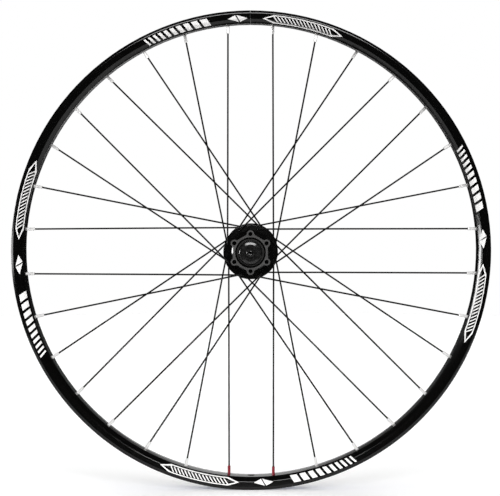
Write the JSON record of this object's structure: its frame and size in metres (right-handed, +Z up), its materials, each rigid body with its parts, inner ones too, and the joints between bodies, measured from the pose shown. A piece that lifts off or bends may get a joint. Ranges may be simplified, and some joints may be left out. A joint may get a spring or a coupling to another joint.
{
  "type": "bicycle wheel",
  "caption": "Spoked front wheel for a mountain bike, with a black double-wall rim, crossed black spokes and a hub that takes a bolted disc brake.",
  "frame": {"origin": "middle of the wheel: on the axle, halfway between the fork faces and in the rim's middle plane", "axes": "+Y along the axle from the disc side to the plain side, +Z up towards the rim's joint, -Z towards the valve hole"},
  "size_m": [0.5724, 0.109, 0.5724],
  "materials": {
    "rim_black": "glossy black anodised",
    "bare_aluminium": "mill finish",
    "tape": "matte woven nylon",
    "spoke_black": "black oxide, satin",
    "nipple_silver": "nickel plated",
    "nipple_red": "red anodised",
    "hub_black": "black anodised",
    "cap_black": "black anodised, turned",
    "axle_alloy": "turned",
    "bearing_steel": "ground and polished",
    "cage_nylon": "moulded nylon",
    "seal_rubber": "matte",
    "o_ring_rubber": "matte"
  },
  "bodies": {
    "axle_assembly": {"axle": "axle_alloy", "end_cap_disc_side": "cap_black", "end_cap_plain_side": "cap_black", "axle_o_ring_disc_side": "o_ring_rubber", "axle_o_ring_plain_side": "o_ring_rubber", "bearing_inner_race_disc_side": "bearing_steel", "bearing_inner_race_plain_side": "bearing_steel"},
    "wheel": {"bearing_inner_seal_disc_side": "seal_rubber", "bearing_inner_seal_plain_side": "seal_rubber", "bearing_outer_race_disc_side": "bearing_steel", "bearing_outer_race_plain_side": "bearing_steel", "bearing_outer_seal_disc_side": "seal_rubber", "bearing_outer_seal_plain_side": "seal_rubber", "hub_shell": "hub_black", "nipples_red": "nipple_red", "nipples_silver": "nipple_silver", "rim": "rim_black", "rim_joint_sleeve": "bare_aluminium", "rim_tape": "tape", "spoke_01": "spoke_black", "spoke_02": "spoke_black", "spoke_03": "spoke_black", "spoke_04": "spoke_black", "spoke_05": "spoke_black", "spoke_06": "spoke_black", "spoke_07": "spoke_black", "spoke_08": "spoke_black", "spoke_09": "spoke_black", "spoke_10": "spoke_black", "spoke_11": "spoke_black", "spoke_12": "spoke_black", "spoke_13": "spoke_black", "spoke_14": "spoke_black", "spoke_15": "spoke_black", "spoke_16": "spoke_black", "spoke_17": "spoke_black", "spoke_18": "spoke_black", "spoke_19": "spoke_black", "spoke_20": "spoke_black", "spoke_21": "spoke_black", "spoke_22": "spoke_black", "spoke_23": "spoke_black", "spoke_24": "spoke_black", "spoke_25": "spoke_black", "spoke_26": "spoke_black", "spoke_27": "spoke_black", "spoke_28": "spoke_black", "spoke_29": "spoke_black", "spoke_30": "spoke_black", "spoke_31": "spoke_black", "spoke_32": "spoke_black"},
    "ball_set_disc_side": {"bearing_balls_disc_side": "bearing_steel", "bearing_cage_disc_side": "cage_nylon"},
    "ball_set_plain_side": {"bearing_balls_plain_side": "bearing_steel", "bearing_cage_plain_side": "cage_nylon"}
  },
  "joints": [
    {"name": "wheel_spin", "type": "hinge", "parent": "axle_assembly", "child": "wheel", "pos_m": [0, 0, 0], "axis": [0, 1, 0], "continuous": true},
    {"name": "ball_orbit_disc_side", "type": "hinge", "parent": "axle_assembly", "child": "ball_set_disc_side", "pos_m": [0, -0.0344, 0], "axis": [0, 1, 0], "continuous": true},
    {"name": "ball_orbit_plain_side", "type": "hinge", "parent": "axle_assembly", "child": "ball_set_plain_side", "pos_m": [0, 0.0359, 0], "axis": [0, 1, 0], "continuous": true}
  ],
  "couplings": [
    {"joint": "ball_orbit_disc_side", "follows": "wheel_spin", "ratio": 0.579},
    {"joint": "ball_orbit_plain_side", "follows": "wheel_spin", "ratio": 0.579}
  ]
}
